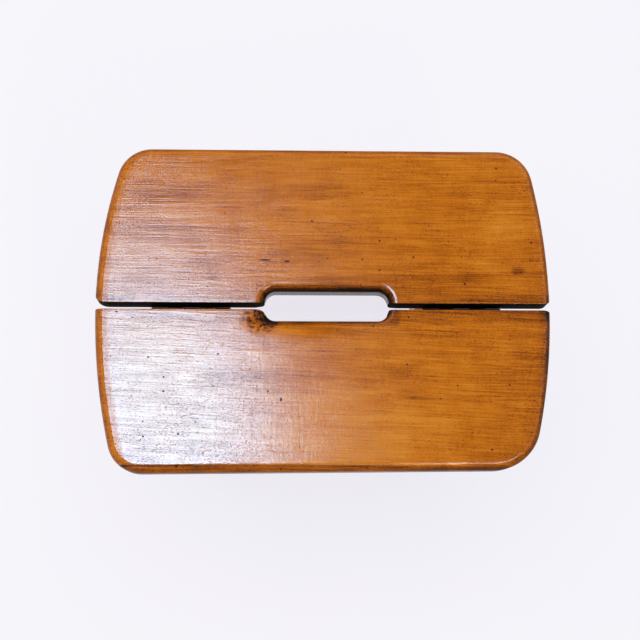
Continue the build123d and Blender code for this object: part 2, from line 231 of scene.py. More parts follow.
@dataclass(frozen=True)
class VarnishedHardwood:
    """Stained hardwood under brushed varnish.

    The eye gets a honey-brown board with fine straight grain, short dark pores and slow
    changes of tone, seen through a hard clear gloss that mirrors the window. The varnish has
    sunk into the grain, so the mirror image is drawn in fine lines, and it has worn thin where
    the tone is dark, between bare_tone and covered_tone.
    """

    name: str
    grain: Grain
    shift: float = 0.0
    shades: Shades = (
        (0.0, "#140a03"), (0.16, "#542803"), (0.34, "#974d03"), (0.5, "#bb6907"),
        (0.68, "#cb801e"), (1.0, "#e0a648"))
    mean_tone: float = 0.5
    fibres: tuple[Fibre, ...] = (
        Fibre(230, 24, 0.20, 0.020),
        Fibre(80, 6, 0.20, 0.030),
        Fibre(26, 1.4, 0.36, 0.100, 3.0),
        Fibre(70, 1.2, 0.34, 0.060, 1.0),
        Fibre(2.4, 16, 0.09, 0.045),
        Fibre(22, 22, 0.20, 0.030),
    )
    fibre_shift: tuple[float, float, float] = (7.3, 3.1, 1.7)
    fibre_roughness: float = 0.55
    wander: float = 5.0
    wander_length: float = 150.0
    wander_width: float = 50.0
    # Real pores are a tenth of a millimetre wide; these are wide enough to show
    pore_length: float = 1.9
    pore_width: float = 0.62
    pore_depth: float = 0.20
    pore_relief: float = 0.03
    pore_from: float = 0.62
    pore_to: float = 0.80
    pore_patch: float = 30.0
    pore_patch_share: float = 0.16
    speck_size: tuple[float, float, float] = (3.3, 2.2, 2.2)
    speck_from: float = 0.50
    speck_to: float = 0.62
    patch_waviness: float = 0.5
    patch_core_share: float = 0.25
    pits: Pits | None = None
    coat_weight: float = 1.0
    coat_roughness: float = 0.055
    coat_ior: float = 1.5
    base_roughness: float = 0.45
    base_gloss: float = 0.05
    bare_tone: float = 0.10
    covered_tone: float = 0.60
    bare_cover: float = 0.15
    stains: tuple[Stain, ...] = ()
    edges: EdgeWearAndShade | None = None

    def material(self) -> bpy.types.Material:
        """Make the material.

        Returns:
            The material, with its grain on object coordinates.
        """
        material = new_material(self.name)
        add = partial(add_node, material.node_tree)
        place = add("TexCoord")["Object"]
        bent, drift = self.follow_grain(add, place)
        tone, relief = self.grain_layers(add, bent)
        marks = [(self.pores(add, bent), self.pore_depth, self.pore_relief)]
        if self.pits:
            marks.append((self.pit_holes(add, bent), self.pits.depth, self.pits.relief))
        for mark, depth, sunk in marks:
            tone, relief = (
                add("Math", (mark, -amount, so_far), operation="MULTIPLY_ADD")[0]
                for amount, so_far in ((depth, tone), (sunk, relief)))
        tone, coat = self.wear(add, place, drift, tone)
        colour = add("ValToRGB", (tone,))[0]
        fill_ramp(colour.node, self.shades)
        bump = add("Bump", {"Height": relief, "Distance": MM, "Strength": 1.0})[0]
        shader = add("BsdfPrincipled", {
            "Base Color": colour, "Roughness": self.base_roughness, "Normal": bump,
            "Specular IOR Level": self.base_gloss, "Coat Weight": coat,
            "Coat Roughness": self.coat_roughness, "Coat IOR": self.coat_ior,
            "Coat Normal": bump})[0]
        add("OutputMaterial", (shader,))
        return material

    def follow_grain(self, add: AddNode, place: Socket) -> tuple[Socket, Socket]:
        """Turn the grain onto the X axis and let it wander a little.

        Args:
            add: adds a node to the material.
            place: object coordinates in metres.

        Returns:
            Place in millimetres with the grain along X, and the slow noise that bends it.
        """
        along = add("Mapping", {
            "Vector": place, "Rotation": tuple(map(radians, self.grain.value)),
            "Scale": (1 / MM,) * 3, "Location": (self.shift,) * 3})[0]
        slow = add("VectorMath", (along, (
            1 / self.wander_length, 1 / self.wander_width, 1 / self.wander_width)),
            operation="MULTIPLY")[0]
        drift = add("TexNoise", {"Vector": slow, "Scale": 1.0, "Detail": 1.0})["Color"]
        bent = add("VectorMath", (drift, (0, self.wander, self.wander), along),
                   operation="MULTIPLY_ADD")[0]
        return bent, drift

    def grain_layers(self, add: AddNode, bent: Socket) -> tuple[Socket, Socket]:
        """Add up the layers of grain.

        Args:
            add: adds a node to the material.
            bent: place in millimetres with the grain along X.

        Returns:
            The tone, mean_tone on the average, and the relief in millimetres.
        """
        tone: Any = self.mean_tone
        relief: Any = 0.0
        for number, fibre in enumerate(self.fibres):
            stretched = add("Mapping", {
                "Vector": bent, "Location": tuple(step * number for step in self.fibre_shift),
                "Scale": (1 / fibre.length, 1 / fibre.width, 1 / fibre.width)})[0]
            streak = add("TexNoise", {
                "Vector": stretched, "Scale": 1.0, "Detail": fibre.detail,
                "Roughness": self.fibre_roughness})["Fac"]
            about_zero = add("Math", (streak, 0.5), operation="SUBTRACT")[0]
            tone, relief = (
                add("Math", (about_zero, amount, so_far), operation="MULTIPLY_ADD")[0]
                for amount, so_far in ((fibre.depth, tone), (fibre.relief, relief)))
        return tone, relief

    def pores(self, add: AddNode, bent: Socket) -> Socket:
        """Short dark pores, crowded in some patches and rare in others.

        Args:
            add: adds a node to the material.
            bent: place in millimetres with the grain along X.

        Returns:
            One in a pore and zero between pores.
        """
        dashes = add("Mapping", {
            "Vector": bent,
            "Scale": (1 / self.pore_length, 1 / self.pore_width, 1 / self.pore_width)})[0]
        noise, patches = (
            add("TexNoise", {"Vector": where, "Scale": scale, "Detail": 1.0})["Fac"]
            for where, scale in ((dashes, 1.0), (bent, 1 / self.pore_patch)))
        crowded = add("Math", (patches, self.pore_patch_share, noise), operation="MULTIPLY_ADD")[0]
        return add("MapRange", (crowded, self.pore_from, self.pore_to))[0]

    def pit_holes(self, add: AddNode, bent: Socket) -> Socket:
        """Holes of many sizes, one at most in each cell.

        Args:
            add: adds a node to the material.
            bent: place in millimetres with the grain along X.

        Returns:
            One in a hole and zero elsewhere.
        """
        pits = self.pits
        cells = add("TexVoronoi", {"Vector": bent, "Scale": 1 / pits.spacing},
                    voronoi_dimensions="2D")
        chance = add("SeparateColor", (cells["Color"],))[0]
        size = add("Math", (chance, pits.rarity), operation="POWER")[0]
        share = add("Math", (cells["Distance"], size), operation="DIVIDE")[0]
        largest = pits.radius / pits.spacing
        return add("MapRange", (share, pits.rim_share * largest, pits.floor_share * largest))[0]

    def patch(self, add: AddNode, place: Socket, drift: Socket, stain: Stain) -> Socket:
        """Where a soft-edged patch lies.

        Args:
            add: adds a node to the material.
            place: object coordinates in metres.
            drift: slow noise that makes the patch's edge uneven.
            stain: the patch.

        Returns:
            One in the patch and zero outside it.
        """
        centred = add("Mapping", {
            "Vector": place, "Scale": (1 / (stain.half_x * MM), 1 / (stain.half_y * MM), 0),
            "Location": (-stain.x / stain.half_x, -stain.y / stain.half_y, 0)})[0]
        wavy = (self.patch_waviness, self.patch_waviness, 0)
        uneven = add("VectorMath", (drift, wavy, centred), operation="MULTIPLY_ADD")[0]
        mean_of_noise = tuple(value / 2 for value in wavy)
        distance = add("VectorMath", (uneven, mean_of_noise), operation="DISTANCE")["Value"]
        return add("MapRange", (distance, 1.0, self.patch_core_share),
                   interpolation_type=SMOOTH)[0]

    def wear(self, add: AddNode, place: Socket, drift: Socket,
             tone: Socket) -> tuple[Socket, Socket | float]:
        """Lay the stains, with burnt specks in a charred one, and the edges' wear and painted
        shade over the wood.

        Args:
            add: adds a node to the material.
            place: object coordinates in metres.
            drift: slow noise that makes the stains' edges uneven.
            tone: the tone of the sound wood.

        Returns:
            The tone of the worn wood with its painted shade, and the weight of the varnish.
        """
        kept: Socket | float = self.coat_weight
        for stain in self.stains:
            patch = self.patch(add, place, drift, stain)
            tone = add("Math", (patch, -stain.depth, tone), operation="MULTIPLY_ADD")[0]
            if stain.charred:
                stretched = add("Mapping", {"Vector": place, "Scale": tuple(
                    1 / (size * MM) for size in self.speck_size)})[0]
                noise = add("TexNoise", {"Vector": stretched, "Scale": 1.0, "Detail": 2.0})["Fac"]
                specks = add("MapRange", (noise, self.speck_from, self.speck_to))[0]
                burnt = add("Math", (patch, specks), operation="MULTIPLY")[0]
                tone = add("Math", (burnt, -stain.charred, tone), operation="MULTIPLY_ADD")[0]
            if stain.bare:
                left = add("Math", (patch, -stain.bare, 1.0), operation="MULTIPLY_ADD")[0]
                kept = add("Math", (left, kept), operation="MULTIPLY")[0]
        if not self.edges:
            return tone, kept
        covered = add("MapRange", (
            tone, self.bare_tone, self.covered_tone, self.bare_cover, 1.0))[0]
        measured = self.edges.measure(add, place)
        tone = self.edges.darken(add, place, measured, tone)
        coat = self.edges.varnish_left(add, place, measured)
        for share in (covered, kept):
            coat = add("Math", (coat, share), operation="MULTIPLY")[0]
        return tone, coat


@dataclass(frozen=True)
class Zone:
    """A region that darkens by depth where it is past all its limits.

    A limit is where the darkening starts and where it is full, in millimetres: along the
    boards to the right of their middle, from that middle to either end, from the hand-hold's
    middle to either end, from the middle of the slit to either long edge, or below the top.
    """

    depth: float
    along: tuple[float, ...] = ()
    from_middle: tuple[float, ...] = ()
    from_hold: tuple[float, ...] = ()
    from_slit: tuple[float, ...] = ()
    below: tuple[float, ...] = ()


@dataclass(frozen=True)
class EdgeWearAndShade:
    """Where a seat board's edges are darkened, with painted shade down the roundovers and into the
    hand-hold and with nicks at the ends, and where its varnish is left.

    The varnish is rubbed off the roundovers from bare_from to bare_to below the top. It is
    left on the walls, from wall_from to wall_to, and thickest on those of the hand-hold, which
    lie nearer the slit than hold_wall_to. Along the bowed left end it is rubbed down
    border_from to border_to in from the edge, and more of it is left on the roundover, left of
    end_from to end_to.
    """

    zones: tuple[Zone, ...]
    left_bow: float
    half_width: float = 200.0
    top: float = 430.0
    hold_x: float = 3.3
    bare_from: float = 0.45
    bare_to: float = 1.2
    wall_from: float = 6.5
    wall_to: float = 8.5
    hold_wall_from: float = 24.0
    hold_wall_to: float = 20.0
    bare_coat: float = 0.05
    wall_coat: float = 0.35
    hold_coat: float = 0.9
    end_from: float = -150.0
    end_to: float = -185.0
    end_coat: float = 0.6
    border_from: float = 9.8
    border_to: float = 13.2
    nick_size: float = 2.6
    nick_from: float = 0.67
    nick_to: float = 0.73
    nick_zone: Zone = Zone(0.5, from_middle=(170.0, 178.0), below=(1.5, 4.0))

    def measure(self, add: AddNode, place: Socket) -> dict[str, Socket]:
        """Measure the surface in the ways of a zone's limits.

        Args:
            add: adds a node to the material.
            place: object coordinates in metres.

        Returns:
            The distance in metres for the name of each limit.
        """
        axes = add("SeparateXYZ", (place,))
        from_hold = add("Math", (axes["X"], self.hold_x * MM), operation="SUBTRACT")[0]
        from_middle, from_hold, from_slit = (
            add("Math", (distance,), operation="ABSOLUTE")[0]
            for distance in (axes["X"], from_hold, axes["Y"]))
        below = add("Math", (self.top * MM, axes["Z"]), operation="SUBTRACT")[0]
        return {"along": axes["X"], "from_middle": from_middle, "from_hold": from_hold,
                "from_slit": from_slit, "below": below}

    def darken(self, add: AddNode, place: Socket, measured: dict[str, Socket],
               tone: Socket) -> Socket:
        """Take the tone down on the edges, with painted shade on the roundovers and the hand-hold.

        Args:
            add: adds a node to the material.
            place: object coordinates in metres.
            measured: the distance for each limit.
            tone: the tone so far.

        Returns:
            The tone with darker edges, partly painted shade, and nicked ends.
        """
        noise = add("TexNoise", {
            "Vector": place, "Scale": 1 / (self.nick_size * MM), "Detail": 1.0})["Fac"]
        nicked = add("MapRange", (noise, self.nick_from, self.nick_to),
                     interpolation_type=SMOOTH)[0]
        for zone in self.zones + (self.nick_zone,):
            passed = [nicked] if zone is self.nick_zone else []
            for name, distance in measured.items():
                if limit := getattr(zone, name):
                    start, full = (value * MM for value in limit)
                    passed.append(add("MapRange", (distance, start, full),
                                      interpolation_type=SMOOTH)[0])
            share: Any = zone.depth
            for part in passed:
                share = add("Math", (part, share), operation="MULTIPLY")[0]
            tone = add("Math", (tone, share), operation="SUBTRACT")[0]
        return tone

    def varnish_left(self, add: AddNode, place: Socket, measured: dict[str, Socket]) -> Socket:
        """Say how much of the varnish the wear has left.

        Args:
            add: adds a node to the material.
            place: object coordinates in metres.
            measured: the distance for each limit.

        Returns:
            The share of the varnish that is left.
        """
        on_rim = add("MapRange", (
            measured["along"], self.end_from * MM, self.end_to * MM, self.bare_coat,
            self.end_coat))[0]
        bow_middle = ((self.left_bow - self.half_width) * MM, 0, self.top * MM)
        reach = add("VectorMath", (place, bow_middle), operation="DISTANCE")["Value"]
        on_top = add("MapRange", (
            reach, (self.left_bow - self.border_from) * MM,
            (self.left_bow - self.border_to) * MM, on_rim, 1.0))[0]
        rubbed = add("MapRange", (
            measured["below"], self.bare_from * MM, self.bare_to * MM, on_top, on_rim))[0]
        on_walls = add("MapRange", (
            measured["from_slit"], self.hold_wall_from * MM, self.hold_wall_to * MM,
            self.wall_coat, self.hold_coat))[0]
        return add("MapRange", (
            measured["below"], self.wall_from * MM, self.wall_to * MM, rubbed, on_walls))[0]


@dataclass(frozen=True)
class PlatedMetal:
    """Pressed or turned metal with a thin bright coat.

    The eye gets a soft grey or yellow shine, a little cloudy, with faint handling marks.
    """

    name: str
    colour: str
    cloud_colour: str
    roughness: float
    roughness_change: float = 0.08
    cloud_size: float = 9.0
    cloud_detail: float = 3.0
    cloud_from: float = 0.35
    cloud_to: float = 0.65
    mark_size: float = 0.6
    mark_detail: float = 2.0
    mark_relief: float = 0.01

    def material(self) -> bpy.types.Material:
        """Make the material.

        Returns:
            The material, with its clouds and marks on object coordinates.
        """
        material = new_material(self.name)
        add = partial(add_node, material.node_tree)
        place = add("TexCoord")["Object"]
        clouds, marks = (add("TexNoise", {
            "Vector": place, "Scale": 1 / (size * MM), "Detail": detail})["Fac"]
            for size, detail in ((self.cloud_size, self.cloud_detail),
                                 (self.mark_size, self.mark_detail)))
        tint = add("ValToRGB", (clouds,))[0]
        fill_ramp(tint.node, ((self.cloud_from, self.colour), (self.cloud_to, self.cloud_colour)))
        roughness = add("MapRange", {
            "Value": marks, "To Min": self.roughness - self.roughness_change,
            "To Max": self.roughness + self.roughness_change})[0]
        bump = add("Bump", {"Height": marks, "Distance": self.mark_relief * MM})[0]
        shader = add("BsdfPrincipled", {
            "Base Color": tint, "Metallic": 1.0, "Roughness": roughness, "Normal": bump})[0]
        add("OutputMaterial", (shader,))
        return material


@dataclass(frozen=True)
class SlitCorner:
    """A corner on the slit, knocked round in use: how far along the slit, and how far across."""

    along: float
    across: float


@dataclass
class SeatBoard:
    """One seat board: a bowed, round-cornered plank with half the hand-hold in its long edge.

    side is 1 for the back board and -1 for the front one. The hand-hold runs from hold_left
    to hold_right and hold_reach across from the middle; the slit corners are the board's ends
    and the hand-hold's two lips. The long edge stands overhang further out in the middle, and
    skew_share times X less than that along it. Beside the slit a strip of the top is sunk by
    worn_drop, up to strip_end short of worn_strip, so that a narrow slope leads down to it.
    """

    side: int
    node: str
    body: Body
    left_bow: float
    left_corner: float
    right_bow: float
    right_corner: float
    hold_left: float
    hold_right: float
    hold_reach: float
    hold_corner: float
    hold_roundover: float
    finish: VarnishedHardwood
    left_end: SlitCorner
    left_lip: SlitCorner
    right_lip: SlitCorner
    right_end: SlitCorner
    overhang: float = 0.0
    skew_share: float = 0.0
    width: float = 400.0
    depth: float = 287.0
    top: float = 430.0
    thickness: float = 25.0
    slit: float = 5.8
    rim_roundover: float = 8.0
    underside_roundover: float = 2.0
    arris: float = 0.3
    worn_strip: float = 1.4
    strip_end: float = 0.5
    worn_drop: float = 0.09
    worn_depth: float = 16.0
    clear_of_lip: float = 1.0
    shortest_slit_edge: float = 100.0
    slit_cuts: int = 90
    bow_steps: int = 40
    corner_steps: int = 22
    hold_steps: int = 12
    roundover_steps: int = 8
    underside_steps: int = 3
    arris_steps: int = 2
    shading_weight: int = 100
    tolerance: float = 0.05

    def add_arc(self, bm: Mesh, centre: Vector, start: float, finish: float,
                radius: float, steps: int) -> list[Vert]:
        """Spin one vertex into an arc of edges.

        Args:
            bm: the mesh being made, in millimetres.
            centre: the arc's centre.
            start: first angle in radians.
            finish: last angle in radians.
            radius: the arc's radius.
            steps: number of edges.

        Returns:
            The vertices in order, from the first angle to the last.
        """
        first = bm.verts.new(centre + radius * Vector((cos(start), sin(start), 0)))
        old = set(bm.verts)
        bmesh.ops.spin(bm, geom=[first], cent=centre, axis=UP, angle=finish - start,
                       steps=steps, use_merge=False, use_duplicate=False)
        return [first] + [vert for vert in bm.verts if vert not in old]

    def end_run(self, bm: Mesh, end: int) -> list[Vert]:
        """Plan of one end, from the slit to the long edge.

        Args:
            bm: the mesh being made.
            end: 1 for the right end and -1 for the left.

        Returns:
            The vertices in order.
        """
        radius = self.right_bow if end > 0 else self.left_bow
        corner = self.right_corner if end > 0 else self.left_corner
        bow_x = self.width / 2 - radius
        corner_y = self.depth / 2 - corner
        corner_x = bow_x + sqrt((radius - corner) ** 2 - corner_y**2)
        turn = atan2(corner_y, corner_x - bow_x)
        verts = self.add_arc(bm, Vector((bow_x, 0, 0)), asin(self.slit / 2 / radius), turn,
                             radius, self.bow_steps)
        verts += self.add_arc(bm, Vector((corner_x, corner_y, 0)), turn, pi / 2, corner,
                              self.corner_steps)
        bmesh.ops.scale(bm, vec=(end, 1, 1), verts=verts)
        return verts

    def hold_run(self, bm: Mesh) -> list[Vert]:
        """Plan of half the hand-hold, from its left lip over its long edge to the right.

        Args:
            bm: the mesh being made.

        Returns:
            The vertices in order.
        """
        near = self.slit / 2
        radius = self.hold_corner
        corner_y = self.hold_reach - radius
        verts = [bm.verts.new((self.hold_left, near, 0))]
        for corner_x, start, finish in ((self.hold_left + radius, pi, pi / 2),
                                        (self.hold_right - radius, pi / 2, 0)):
            verts += self.add_arc(bm, Vector((corner_x, corner_y, 0)), start, finish, radius,
                                  self.hold_steps)
        verts.append(bm.verts.new((self.hold_right, near, 0)))
        return verts

    def is_slit(self, edge: Edge) -> bool:
        """Whether an edge lies on the slit's face."""
        return all(vert.co.y < self.slit / 2 + self.tolerance for vert in edge.verts)

    def edges_where(self, bm: Mesh, level: float, in_hold: bool) -> list[Edge]:
        """Outline edges at one height, either those of the hand-hold or those of the rim.

        Args:
            bm: the mesh being made.
            level: height of the edges above the underside.
            in_hold: True for the hand-hold, False for ends, corners and long edge.

        Returns:
            The edges.
        """
        gap = self.tolerance
        found = []
        for edge in bm.edges:
            ends = [vert.co for vert in edge.verts]
            inside = all(self.hold_left - gap < end.x < self.hold_right + gap
                         and end.y < self.hold_reach + gap for end in ends)
            if (all(abs(end.z - level) < gap for end in ends)
                    and inside == in_hold and not self.is_slit(edge)):
                found.append(edge)
        return found

    def build(self) -> bpy.types.Object:
        """Make the board's mesh.

        Returns:
            The board, in metres, where the construction says.
        """
        bm = bmesh.new()
        outline = self.end_run(bm, 1) + self.end_run(bm, -1)[::-1] + self.hold_run(bm)
        for start, finish in zip(outline, outline[1:] + outline[:1]):
            if not bm.edges.get((start, finish)):
                bm.edges.new((start, finish))
        bmesh.ops.remove_doubles(bm, verts=bm.verts, dist=self.tolerance)
        face = bmesh.ops.contextual_create(bm, geom=bm.edges[:])["faces"]
        raised = bmesh.ops.extrude_face_region(bm, geom=face)["geom"]
        bmesh.ops.translate(bm, vec=(0, 0, self.thickness),
                            verts=[item for item in raised if isinstance(item, Vert)])
        self.round_edges(bm)
        self.wear_slit(bm)
        for vert in bm.verts:
            vert.co.y += ((self.overhang - self.skew_share * vert.co.x)
                          * vert.co.y / (self.depth / 2))
        bmesh.ops.translate(bm, vec=(0, 0, self.top - self.thickness), verts=bm.verts)
        bmesh.ops.scale(bm, vec=(MM, self.side * MM, MM), verts=bm.verts)
        bmesh.ops.recalc_face_normals(bm, faces=bm.faces)
        board = new_object(bm, f"{self.node}_dressed")
        for polygon in board.data.polygons:
            polygon.use_smooth = True
        shading = board.modifiers.new("even_shading", "WEIGHTED_NORMAL")
        shading.weight = self.shading_weight
        shading.keep_sharp = True
        return board

    def round_edges(self, bm: Mesh) -> None:
        """Round the rim, the hand-hold, the underside and the slit's arrises.

        Args:
            bm: the mesh being made.
        """
        round_over = partial(bmesh.ops.bevel, bm, offset_type="OFFSET", affect="EDGES",
                             profile=0.5, material=-1, clamp_overlap=False)
        passes = [(self.edges_where(bm, level, in_hold), radius, steps)
                  for level, in_hold, radius, steps in (
                      (self.thickness, False, self.rim_roundover, self.roundover_steps),
                      (self.thickness, True, self.hold_roundover, self.roundover_steps),
                      (0.0, False, self.underside_roundover, self.underside_steps),
                      (0.0, True, self.underside_roundover, self.underside_steps))]
        for edges, radius, steps in passes:
            round_over(geom=[edge for edge in edges if edge.is_valid], offset=radius,
                       segments=steps)
        round_over(geom=[edge for edge in bm.edges if self.is_slit(edge)], offset=self.arris,
                   segments=self.arris_steps)

    def wear_slit(self, bm: Mesh) -> None:
        """Mark the slit's wall for its dark bare wood with painted shade, sink the strip beside it
        and round its corners.

        Args:
            bm: the mesh being made.
        """
        near = self.slit / 2
        for face in bm.faces:
            if all(vert.co.y < near + self.tolerance for vert in face.verts):
                face.material_index = 1
        wear_line = near + self.arris + self.worn_strip
        clear = self.hold_roundover + self.clear_of_lip
        self.sink_strip(bm, -1, self.hold_left - clear, wear_line)
        self.sink_strip(bm, 1, self.hold_right + clear, wear_line)
        along_slit = [edge for edge in bm.edges
                      if all(vert.co.y < wear_line + self.tolerance for vert in edge.verts)
                      and edge.calc_length() > self.shortest_slit_edge]
        bmesh.ops.subdivide_edges(bm, edges=along_slit, cuts=self.slit_cuts, use_grid_fill=True)
        for vert in bm.verts:
            vert.co.y += self.knocked(vert.co.x) * self.fade((vert.co.y - near) / self.worn_depth)

    def sink_strip(self, bm: Mesh, side: int, limit: float, wear_line: float) -> None:
        """Slope the top down a little beside the slit, on one side of the hand-hold.

        Args:
            bm: the mesh being made.
            side: 1 for right of the hand-hold and -1 for left.
            limit: how near the hand-hold the strip comes, along X.
            wear_line: where the slope starts, along Y.
        """
        bmesh.ops.bisect_plane(bm, geom=bm.verts[:] + bm.edges[:] + bm.faces[:],
                               plane_co=(limit, 0, 0), plane_no=(1, 0, 0))
        verts = [vert for vert in bm.verts if side * (vert.co.x - limit) > -self.tolerance]
        faces = [face for face in bm.faces if set(face.verts) <= set(verts)]
        edges = list({edge for face in faces for edge in face.edges})
        cut = bmesh.ops.bisect_plane(bm, geom=verts + edges + faces,
                                     plane_co=(0, wear_line, 0), plane_no=(0, 1, 0))
        top = self.thickness - self.tolerance
        for item in cut["geom_cut"]:
            if isinstance(item, Edge):
                item.smooth = any(vert.co.z < top for vert in item.verts)
        for vert in verts:
            if vert.co.z > top and vert.co.y < wear_line - self.strip_end:
                vert.co.z -= self.worn_drop

    def fade(self, share: float) -> float:
        """Smooth fall from one to zero as a share of the way goes from zero to one."""
        left = 1 - min(max(share, 0.0), 1.0)
        return left * left * (3 - 2 * left)

    def knocked(self, x: float) -> float:
        """How far the slit's edge is worn back at a place along it.

        Args:
            x: the place in millimetres.

        Returns:
            The wear across the slit, in millimetres.
        """
        half = self.width / 2
        wear = 0.0
        for corner, gap in ((self.left_end, x + half), (self.right_end, half - x),
                            (self.left_lip, self.hold_left - x),
                            (self.right_lip, x - self.hold_right)):
            if -self.arris < gap < corner.along:
                rise = 1 - max(gap, 0.0) / corner.along
                wear = max(wear, corner.across * (1 - sqrt(1 - rise * rise)))
        return wear

    def dress(self, board: bpy.types.Object, slit_wood_and_shade: bpy.types.Material) -> None:
        """Give the board its finish and its place on its body.

        Args:
            board: the board's object.
            slit_wood_and_shade: the slit's walls: dark bare wood, darkened further as painted
                shade.
        """
        board.data.materials.append(self.finish.material())
        board.data.materials.append(slit_wood_and_shade)
        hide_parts(self.node)
        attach(board, self.body.value)


# Painted shade down the roundovers, where they start and further down, and the top darker towards
# the slit, more so right of the hand-hold
COMMON_ZONES = (
    Zone(0.10, below=(0.3, 2.0)),
    Zone(0.11, below=(4.0, 8.5)),
    Zone(0.06, from_slit=(22.0, 4.0)),
    Zone(0.08, along=(64.0, 96.0), from_slit=(20.0, 5.0)),
)
# The long edge's roundover, with painted shade at its foot and lighter in the middle of it on the
# left, then the right end, and last painted shade on the hand-hold's edge
FRONT_ZONES = COMMON_ZONES + (
    Zone(0.26, from_slit=(137.6, 138.8), along=(80.0, 40.0)),
    Zone(-0.14, from_slit=(139.4, 140.8), along=(80.0, 40.0)),
    Zone(0.16, from_slit=(138.6, 141.0), along=(40.0, 80.0)),
    Zone(0.09, along=(184.0, 197.0)),
    Zone(0.16, from_hold=(66.0, 60.0), from_slit=(19.0, 15.5)),
    Zone(0.34, from_hold=(66.0, 56.0), from_slit=(20.0, 16.0), below=(1.8, 3.6)),
)
# Painted shade on the hand-hold's roundover, where it starts and further down
BACK_ZONES = COMMON_ZONES + (
    Zone(0.16, from_hold=(68.0, 60.0), from_slit=(25.0, 21.0), below=(0.1, 1.2)),
    Zone(0.24, from_hold=(66.0, 56.0), from_slit=(25.0, 20.0), below=(1.5, 5.5)),
)
# Burnt patch at the hand-hold's left lip, varnish rubbed off along the hand-hold, darker right
# end, one dent, a rubbed light front, and dark streaks
FRONT_STAINS = (
    Stain(-56.0, -12.0, 23.0, 19.0, 0.04, bare=0.98, charred=0.34),
    Stain(-47.0, -12.0, 10.0, 12.0, 0.20),
    Stain(-18.0, -20.0, 70.0, 16.0, 0.02, bare=0.95),
    Stain(66.0, -7.0, 16.0, 14.0, 0.03, bare=0.75),
    Stain(216.0, -85.0, 90.0, 150.0, 0.09),
    Stain(200.0, -20.0, 13.0, 60.0, 0.06),
    Stain(-37.6, -82.2, 1.6, 2.2, 0.6),
    Stain(25.0, -113.0, 120.0, 60.0, -0.14),
    Stain(95.0, -24.0, 60.0, 5.0, 0.06),
    Stain(60.0, -85.0, 60.0, 12.0, 0.05),
)
# Dark right end with a spot by the slit, light places in the middle, and two dents
BACK_STAINS = (
    Stain(172.0, 33.0, 9.0, 6.0, 0.20),
    Stain(135.0, 26.0, 46.0, 8.0, 0.07),
    Stain(60.0, 22.0, 150.0, 12.0, 0.07),
    Stain(216.0, 75.0, 60.0, 120.0, 0.06),
    Stain(165.0, 78.0, 50.0, 22.0, -0.10),
    Stain(38.0, 88.0, 50.0, 16.0, -0.06),
    Stain(-52.0, 41.1, 7.0, 1.2, 0.45),
    Stain(-32.3, 39.9, 3.5, 1.3, 0.45),
    Stain(-140.0, 100.0, 45.0, 9.0, 0.06),
    Stain(-20.0, 45.0, 40.0, 12.0, 0.06),
)
FRONT_LEFT_BOW = 527.0
BACK_LEFT_BOW = 430.0
FRONT_FINISH = VarnishedHardwood(
    "varnished_front_board", Grain.ALONG_FRONT_BOARD, pits=Pits(), stains=FRONT_STAINS,
    edges=EdgeWearAndShade(FRONT_ZONES, FRONT_LEFT_BOW))
BACK_FINISH = VarnishedHardwood(
    "varnished_back_board", Grain.ALONG_BACK_BOARD, shift=311.0, pits=Pits(),
    stains=BACK_STAINS, edges=EdgeWearAndShade(BACK_ZONES, BACK_LEFT_BOW))


@dataclass
class Seat:
    """The two boards, and the slit's walls between them: dark bare wood, darkened further as
    painted shade.
    """

    boards: tuple[SeatBoard, ...] = (
        SeatBoard(-1, "front_seat_board", Body.FRONT_LEAF,
                  left_bow=FRONT_LEFT_BOW, left_corner=30.0, right_bow=517.0, right_corner=42.0,
                  hold_left=-52.0, hold_right=56.8, hold_reach=12.7, hold_corner=9.6,
                  hold_roundover=5.0, finish=FRONT_FINISH,
                  left_end=SlitCorner(1.5, 1.0), left_lip=SlitCorner(10.0, 3.4),
                  right_lip=SlitCorner(1.5, 1.0), right_end=SlitCorner(8.0, 1.4),
                  overhang=0.4, skew_share=0.0088),
        SeatBoard(1, "back_seat_board", Body.BACK_LEAF,
                  left_bow=BACK_LEFT_BOW, left_corner=31.0, right_bow=552.0, right_corner=33.0,
                  hold_left=-51.8, hold_right=57.1, hold_reach=14.0, hold_corner=10.0,
                  hold_roundover=8.0, finish=BACK_FINISH,
                  left_end=SlitCorner(11.0, 6.5), left_lip=SlitCorner(8.0, 3.0),
                  right_lip=SlitCorner(4.5, 3.0), right_end=SlitCorner(6.0, 4.0)),
    )
    # The slit's walls: dark bare wood with no varnish, darkened further to near black as painted
    # shade of the narrow slit
    slit_wood_and_shade: VarnishedHardwood = VarnishedHardwood(
        "slit_walls_bare_wood_and_painted_shade", Grain.ALONG_RAILS, coat_weight=0.0, base_roughness=0.8,
        shades=((0.0, "#0b0703"), (0.5, "#1f150a"), (1.0, "#3a2510")))

    def make(self) -> None:
        """Build and dress both boards."""
        slit_material = self.slit_wood_and_shade.material()
        for board in self.boards:
            board.dress(board.build(), slit_material)
            log.info("seat board %s", board.node)


@dataclass
class CarriedGroup:
    """Pieces whose shape comes from the construction and that share one finish."""

    title: str
    nodes: tuple[str, ...]
    finish: VarnishedHardwood | PlatedMetal

    def dress(self, nodes: dict[str, bpy.types.Object]) -> None:
        """Put the finish on every piece of the group.

        Args:
            nodes: the construction's pieces by name.
        """
        material = self.finish.material()
        for name in self.nodes:
            mesh = nodes[name].data
            mesh.materials.clear()
            mesh.materials.append(material)
        log.info("%s: %s", self.title, ", ".join(self.nodes))


def both_sides(*patterns: str) -> tuple[str, ...]:
    """Names with left and right in place of the star."""
    return tuple(pattern.replace("*", side) for pattern in patterns for side in ("left", "right"))


FRAME_FIBRES = (
    Fibre(240, 16, 0.30, 0.006),
    Fibre(60, 4, 0.22, 0.005),
    Fibre(24, 1.3, 0.24, 0.004, 3.0),
    Fibre(3.0, 20, 0.08, 0.001),
)


def frame_wood(name: str, grain: Grain) -> VarnishedHardwood:
    """The frames' finish: the seat's wood under a thinner, softer varnish."""
    return VarnishedHardwood(name, grain, fibres=FRAME_FIBRES, coat_weight=0.6,
                             coat_roughness=0.22, base_roughness=0.5)


